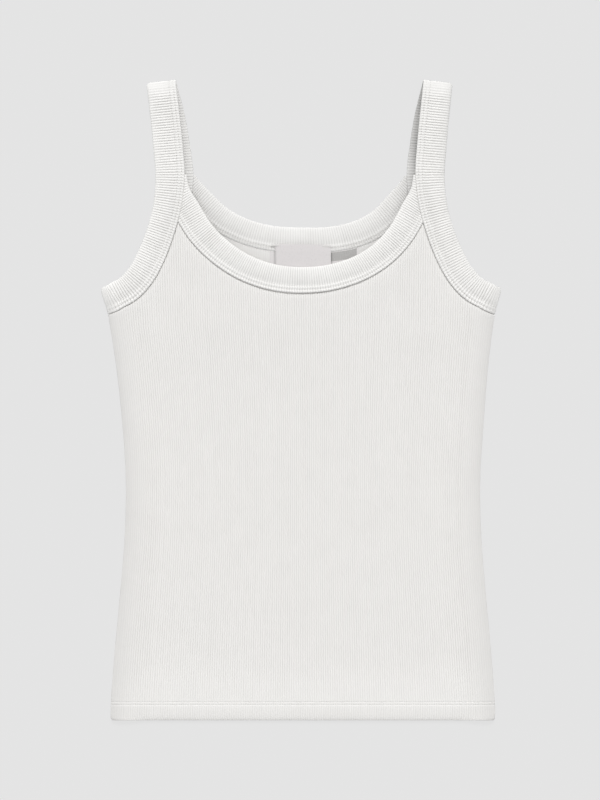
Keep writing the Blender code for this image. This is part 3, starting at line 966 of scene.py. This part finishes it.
def stitched(name, runs, radius=THREAD_RADIUS):
    """Rows of thread as small slim beads, each run a list of their starts and one of their ends."""
    starts, ends = (np.concatenate(points) for points in zip(*runs))
    whole = bmesh.new()
    # A few at a time, because a bmesh gets slow as it fills
    batch = bpy.data.meshes.new(name + "_batch")
    for first in range(0, len(starts), STITCHES_AT_ONCE):
        few = bmesh.new()
        for k in range(first, min(first + STITCHES_AT_ONCE, len(starts))):
            start, end = (Vector(point) for point in as_laid(np.array((starts[k], ends[k]))))
            turn = (end - start).to_track_quat("Z", "Y").to_matrix().to_4x4()
            size = Matrix.Diagonal((radius, radius, (end - start).length / 2, 1))
            place = Matrix.Translation((start + end) / 2) @ turn @ size
            bmesh.ops.create_uvsphere(few, u_segments=6, v_segments=4, radius=1.0, matrix=place)
        few.to_mesh(batch)
        few.free()
        whole.from_mesh(batch)
    bpy.data.meshes.remove(batch)
    row = finished(name, whole)
    row.data.materials.append(thread_white)


def rib_stitches(points, columns, lift):
    """Where the stitches of one needle row start and end, one over each rib of a line of points."""
    grooves = points[::columns]
    middle = points[columns // 2 :: columns][: len(grooves) - 1] + (0, 0, lift)
    leg = np.diff(grooves, axis=0) * STITCH_SHARE / 2
    return middle - leg, middle + leg


def hem_stitches(points, columns, lift):
    """The same for a panel's two hem rows, over its outer face."""
    rows = [np.argmin(abs(points[:, 0, 1] - needle)) for needle in HEM_NEEDLES]
    return [rib_stitches(points[row, : columns * BODY_RIBS + 1], columns, lift) for row in rows]


def band_stitches(band, lines, lift):
    """The same for a binding's needle rows."""
    return [rib_stitches(band[:, line], BAND_COLUMNS_A_RIB, lift) for line in lines]


def looper_cover(band):
    """The cover thread's zigzag between two lines of a binding's points, and its dashes along both."""
    left, right = (band[:, line] + (0, 0, LOOPER_LIFT) for line in LOOPER_LINES)
    rib = BAND_COLUMNS_A_RIB
    half = rib // 2
    there = (left[:-half:rib], right[half::rib])
    back = (right[half:-half:rib], left[rib::rib])
    dashes = [(line[:-half:rib], line[half::rib]) for line in (left, right)]
    return [there, back, *dashes]


LOOPER_LINES = (3, 7)
LOOPER_LIFT = 0.00010
LOOPER_RADIUS = 0.00018
neck_front, neck_back = neck_bands["neck_binding_front"], neck_bands["neck_binding_back"]
arm_left, arm_right = arm_bands["armhole_binding_left"], arm_bands["armhole_binding_right"]
stitched("neck_front_stitches", band_stitches(neck_front, NEEDLE_LINES, STITCH_LIFT))
stitched("armhole_left_stitches", band_stitches(arm_left, NEEDLE_LINES, STITCH_LIFT))
stitched("armhole_right_stitches", band_stitches(arm_right, NEEDLE_LINES, STITCH_LIFT))
stitched("neck_back_stitches", band_stitches(neck_back, UNDERSIDE_NEEDLE_LINES, -STITCH_LIFT))
stitched("hem_front_stitches", hem_stitches(front_points, FRONT_COLUMNS_A_RIB, STITCH_LIFT))
stitched("hem_back_stitches", hem_stitches(back_points, BACK_COLUMNS_A_RIB, -STITCH_LIFT))
stitched("neck_back_looper", looper_cover(neck_back), LOOPER_RADIUS)

# ---- Labels ----
# Two woven satin labels caught in the back neckline's seam. The narrow one hangs inside the neck,
# tacked down at both upper corners over the binding. The wider one under it has a grey woven block
# and no lettering.

LABEL_THICKNESS = 0.0004

# The neck label's height at distances down from its top. Towards its free end it waves a little,
# by so many radians a metre of its width.
NECK_LABEL_FLAT = (0.0505, 0.0344)
NECK_LABEL_ENDS = (-0.0232, 0.0273)
NECK_LABEL_TOP = 0.1424
NECK_LABEL_STEPS = (73, 30)
NECK_LABEL = table(
    "down height",
    (0.0000, 0.0029),
    (0.0010, 0.0030),
    (0.0060, 0.0030),
    (0.0120, 0.0027),
    (0.0179, 0.0022),
    (0.0260, 0.0020),
    (0.0344, 0.0020),
)
WAVE_HEIGHT = 0.00015
WAVE_RATE = 100.0

# The under label's height at distances in from the back neckline, whose curve it follows
UNDER_LABEL_FLAT = (0.0800, 0.0149)
UNDER_LABEL_ENDS = (-0.0282, 0.0519)
UNDER_LABEL_STEPS = (80, 12)
UNDER_LABEL = table(
    "inset height",
    (0.0236, 0.0017),
    (0.0242, 0.0017),
    (0.0300, 0.0016),
    (0.0385, 0.0016),
)
BLOCK_ENDS = (0.0273, 0.0505)
BLOCK_STEPS = 34
BLOCK_ROWS = 6

# Where the neck label's ends shade each label, how dark and how far
LEFT_END, RIGHT_END = NECK_LABEL_ENDS
NECK_LABEL_SHADE = table("x shade reach", (LEFT_END, 0.20, 0.0009))
UNDER_LABEL_SHADE = table("x shade reach", (LEFT_END, 0.30, 0.0012), (RIGHT_END + 0.0003, 0.45, 0.0009))


def shade_along(x, places):
    """How dark a label is at each x, from a table of shaded places."""
    return sum(shade * gaussian(x - place, reach) for place, shade, reach in zip(*places.values()))


def tape(name, upper, shade):
    """A thin closed shell under a grid of points."""
    lower = upper - (0, 0, LABEL_THICKNESS)
    middle = (upper + lower) / 2
    ring = np.concatenate((upper, lower[:, ::-1], upper[:, :1]), axis=1)
    ends = np.concatenate((middle, middle[:, ::-1], middle[:, :1]), axis=1)[[0, -1]]
    points = np.concatenate((ends[:1], ring, ends[1:]))
    shade = np.concatenate((shade, shade[::-1], shade[:1]))
    return knit_shell(name, points, shade=np.broadcast_to(shade, points.shape[:2]))


def satin_material(name, block):
    """Woven satin tape, white but for a grey block given by its middle and half its size in UV."""
    material, surface = cloth_material(name, roughness=0.55, sheen=0.1)
    root = Shade(material.node_tree)
    coordinates = root.node("TexCoord", {}, {}, "UV")
    across = root.node("SeparateXYZ", {}, {0: coordinates}, "X")
    up = root.node("SeparateXYZ", {}, {0: coordinates}, "Y")
    woven = root.math("COMPARE", across, *block[0]) * root.math("COMPARE", up, *block[1])
    here = root.node("TexCoord", {}, {}, "Object")
    stretched = root.node("VectorMath", {"operation": "MULTIPLY"}, {0: here, 1: WEAVE_SCALE})
    weave = root.node("TexNoise", {}, {"Vector": stretched, "Scale": 1.0, "Detail": 2.0})
    grey = woven * BLOCK_STRENGTH + (weave - 0.5) * WEAVE_CONTRAST
    shaded(root, mixed(root, grey, SATIN_WHITE, SATIN_GREY)).feed(surface, "Base Color")
    bump = root.node("Bump", {}, {"Strength": 0.4, "Distance": 0.0001, "Height": weave})
    bump.feed(surface, "Normal")
    return material


SATIN_WHITE = (0.70, 0.675, 0.675, 1.0)
SATIN_GREY = (0.385, 0.38, 0.37, 1.0)
WEAVE_SCALE = (1100.0, 600.0, 600.0)
WEAVE_CONTRAST = 0.60
BLOCK_STRENGTH = 0.88
NO_BLOCK = ((-1, 0), (-1, 0))

x = np.linspace(*NECK_LABEL_ENDS, NECK_LABEL_STEPS[0])
down = np.linspace(0, NECK_LABEL["down"][-1], NECK_LABEL_STEPS[1])[:, None]
wave = WAVE_HEIGHT * np.sin(x * WAVE_RATE) * down / down[-1]
neck_tape = np.dstack(np.broadcast_arrays(x, NECK_LABEL_TOP - down, read_off(NECK_LABEL, down) + wave))
neck_shade = shade_along(x, NECK_LABEL_SHADE)

x = np.linspace(UNDER_LABEL_ENDS[0], BLOCK_ENDS[0], UNDER_LABEL_STEPS[0])
x = np.concatenate((x, np.linspace(*BLOCK_ENDS, BLOCK_STEPS)[1:], UNDER_LABEL_ENDS[1:]))
inset = np.linspace(UNDER_LABEL["inset"][0], UNDER_LABEL["inset"][-1], UNDER_LABEL_STEPS[1])
lines = [beside(back_neck, distance)[::-1] for distance in inset]
y = np.array([np.interp(x, line[:, 0], line[:, 1]) for line in lines])
under_tape = np.dstack(np.broadcast_arrays(x, y, read_off(UNDER_LABEL, inset)[:, None]))
under_shade = shade_along(x, UNDER_LABEL_SHADE)
block_columns = np.searchsorted(x, BLOCK_ENDS) / (2 * len(x))
block_rows = np.array((0.5, 1 + BLOCK_ROWS)) / (len(inset) + 1)
block = [(ends.mean(), np.ptp(ends) / 2) for ends in (block_columns, block_rows)]
for name, points, shade, marks, size in (
    ("neck_label", neck_tape, neck_shade, NO_BLOCK, NECK_LABEL_FLAT),
    ("under_label", under_tape, under_shade, block, UNDER_LABEL_FLAT),
):
    label = tape(name + "_tape", points, shade)
    label.data.materials.append(satin_material(name + "_satin", marks))
    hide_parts(name)

# Close stitches over both upper corners of the neck label
TACK_STARTS = {"left": -0.0270, "right": 0.0202}
TACK_STITCHES = 13
TACK_PITCH = 0.0006
TACK_LENGTH = 0.0022
TACK_MIDDLE = (0.1413, 0.0031)
TACK_RADIUS = 0.0003
for corner, start in TACK_STARTS.items():
    middle = np.array([(start + TACK_PITCH * k, *TACK_MIDDLE) for k in range(TACK_STITCHES)])
    leg = (0, TACK_LENGTH / 2, 0)
    stitched("label_tack_" + corner, [(middle - leg, middle + leg)], TACK_RADIUS)

# ---- Studio ----
# A plain pale table top seen from straight above, evenly lit by soft light all round and a little
# more from high up beyond the neck.

TABLE_HALF = 20.0
TABLE_DROP = 0.0002
TABLE_TONE = (0.775, 0.775, 0.775, 1.0)
TABLE_MATT = 0.10
bm = bmesh.new()
bmesh.ops.create_grid(bm, x_segments=1, y_segments=1, size=TABLE_HALF)
bmesh.ops.translate(bm, verts=bm.verts, vec=(0, 0, -TABLE_DROP))
table_mesh = bpy.data.meshes.new("table_top")
bm.to_mesh(table_mesh)
bm.free()
table_top = bpy.data.objects.new("table_top", table_mesh)
bpy.context.scene.collection.objects.link(table_top)
table_material, surface = cloth_material("pale_table_top", roughness=0.9, sheen=0.0)
surface.inputs["Base Color"].default_value = [TABLE_MATT * tone for tone in TABLE_TONE[:3]] + [1.0]
surface.inputs["Specular IOR Level"].default_value = 0.0
surface.inputs["Emission Color"].default_value = TABLE_TONE
surface.inputs["Emission Strength"].default_value = 1 - TABLE_MATT
table_mesh.materials.append(table_material)

HORIZON_LIGHT = 0.20
OVERHEAD_LIGHT = 0.60
world = bpy.data.worlds.new("studio_light")
world.use_nodes = True
background = world.node_tree.nodes["Background"]
background.inputs["Color"].default_value = (1, 1, 1, 1)
root = Shade(world.node_tree)
direction = root.node("TexCoord", {}, {}, "Generated")
height = root.node("SeparateXYZ", {}, {0: direction}, "Z")
glow = root.math("MAXIMUM", height, 0.0) * OVERHEAD_LIGHT + HORIZON_LIGHT
glow.feed(background, "Strength")
bpy.context.scene.world = world

KEY_STRENGTH = 1.83
KEY_SOFTNESS = np.radians(20)
KEY_WAY = (0.0, -0.92, -1.0)
key = bpy.data.lights.new("soft_key", "SUN")
key.energy = KEY_STRENGTH
key.angle = KEY_SOFTNESS
key_lamp = bpy.data.objects.new("soft_key", key)
key_lamp.rotation_euler = Vector(KEY_WAY).to_track_quat("-Z", "Y").to_euler()
bpy.context.scene.collection.objects.link(key_lamp)

# The view is 800 pixels long, each 0.91 mm of the cloth
PIXEL = 0.00091
VIEW_PIXELS = 800
VIEW_LENGTH = VIEW_PIXELS * PIXEL
VIEW_MIDDLE = (-PIXEL, 0.5 * PIXEL)
CLOTH_HEIGHT = 0.003
LENS = 135.0
SENSOR = 36.0
FAR_END = 100.0
camera = bpy.data.cameras.new("camera")
camera.lens = LENS
camera.sensor_width = SENSOR
camera.clip_end = FAR_END
eye = bpy.data.objects.new("camera", camera)
eye.location = (*VIEW_MIDDLE, CLOTH_HEIGHT + VIEW_LENGTH * LENS / SENSOR)
bpy.context.scene.collection.objects.link(eye)
bpy.context.scene.camera = eye
bpy.context.scene.view_settings.view_transform = "Standard"
